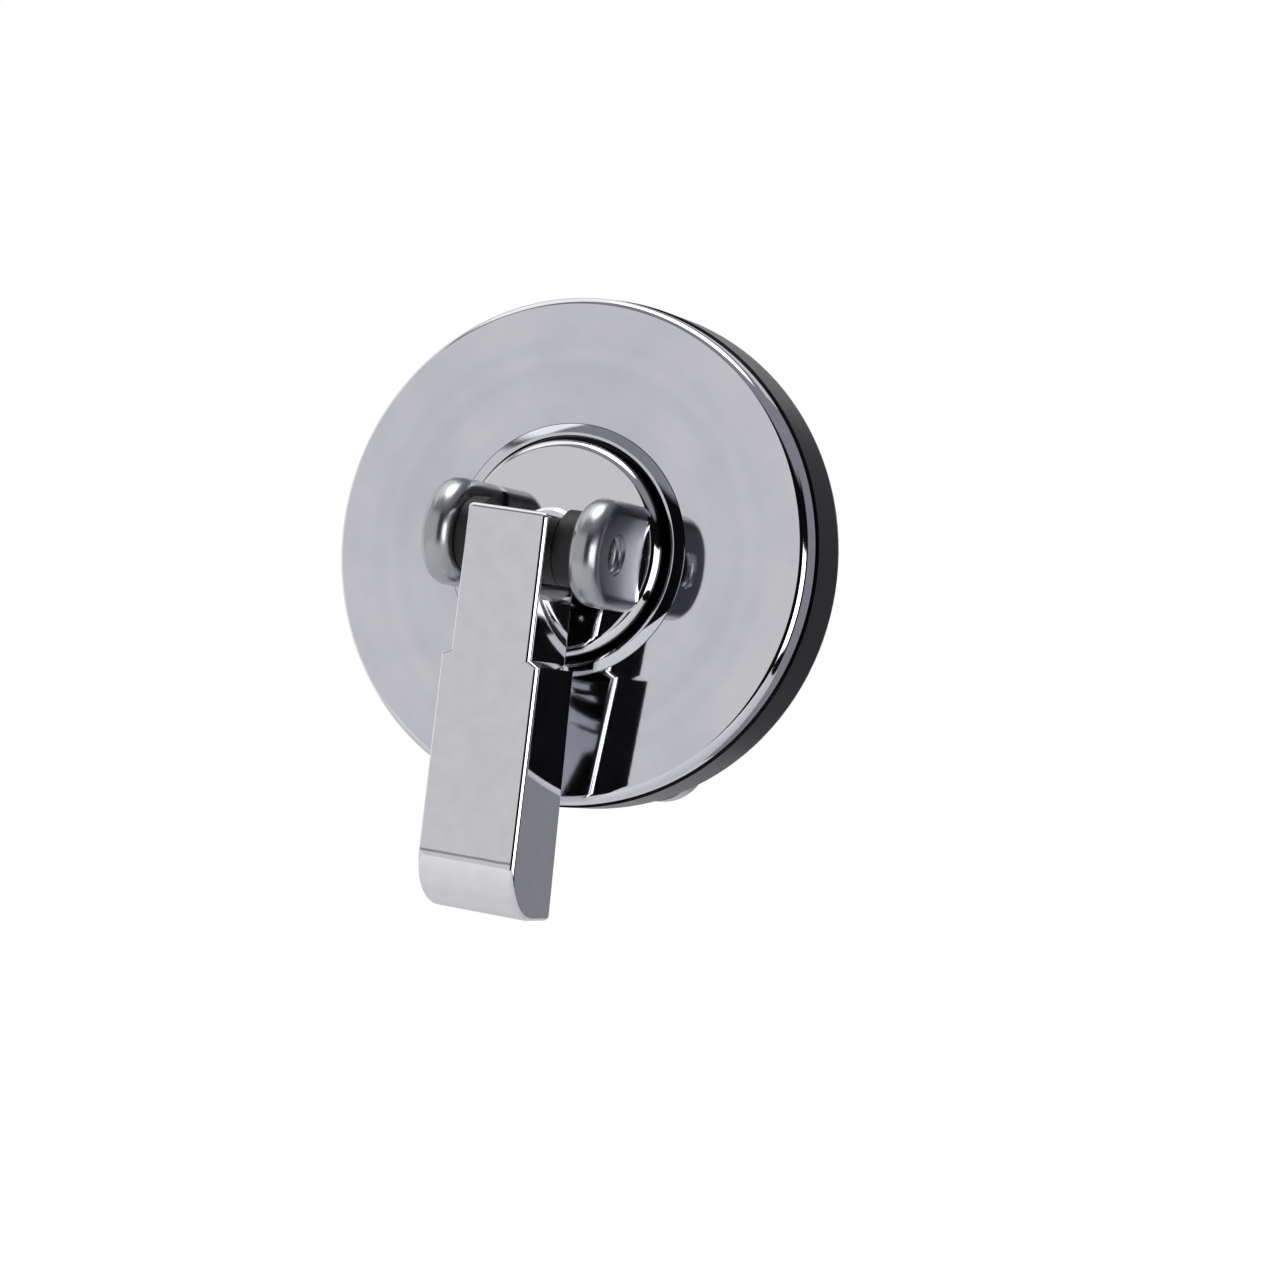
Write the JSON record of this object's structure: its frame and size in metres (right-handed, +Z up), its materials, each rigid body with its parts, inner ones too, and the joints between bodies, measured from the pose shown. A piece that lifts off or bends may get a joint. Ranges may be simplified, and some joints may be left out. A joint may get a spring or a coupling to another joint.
{
  "type": "twist lock clasp",
  "caption": "Quarter-turn clasp for a panel: chromed round plate over a rubber gasket, eared hub with a folding lever, threaded barrel with lock nut and a cranked pawl behind.",
  "frame": {"origin": "where the barrel's axis meets the front face of the panel that the clasp is fixed to", "axes": "+Y along the barrel into the panel, -Y towards the user, +Z up with the lever hanging down, +X to the right as seen from the front"},
  "size_m": [0.0504, 0.0573, 0.0612],
  "materials": {
    "plate_chrome": "mirror-polished chrome plate",
    "hub_chrome": "polished chrome plate, softer on the cast ears",
    "lever_chrome": "mirror-polished chrome plate",
    "pin_chrome": "polished",
    "screw_chrome": "polished",
    "gasket_rubber": "glossy moulded",
    "seal_rubber": "smooth",
    "zinc_steel": "bright zinc-plated steel",
    "spring_steel": "plain spring steel",
    "nylon": "plain moulded",
    "black_nylon": "plain moulded",
    "bronze": "plain sintered"
  },
  "bodies": {
    "housing": {"rose_plate": "plate_chrome", "gasket": "gasket_rubber", "barrel": "zinc_steel", "thrust_washer": "nylon", "friction_ring": "nylon", "panel_washer": "zinc_steel", "lock_nut": "zinc_steel"},
    "hub_body": {"turning_hub": "hub_chrome", "hinge_pin": "pin_chrome", "side_washer_left": "black_nylon", "side_washer_right": "black_nylon", "spindle_screw": "screw_chrome", "spindle": "zinc_steel", "spigot_seal": "seal_rubber", "stop_disc": "zinc_steel", "pawl": "zinc_steel", "pawl_washer": "zinc_steel", "lock_washer": "spring_steel", "pawl_nut": "zinc_steel"},
    "lever_body": {"lever": "lever_chrome", "lever_bush": "bronze"}
  },
  "joints": [
    {"name": "hub_turn", "type": "hinge", "parent": "housing", "child": "hub_body", "pos_m": [0, 0, 0], "axis": [0, -1, 0], "range_deg": [0, 90]},
    {"name": "lever_fold", "type": "hinge", "parent": "hub_body", "child": "lever_body", "pos_m": [0, -0.0195, 0], "axis": [-1, 0, 0], "range_deg": [0, 95]}
  ]
}
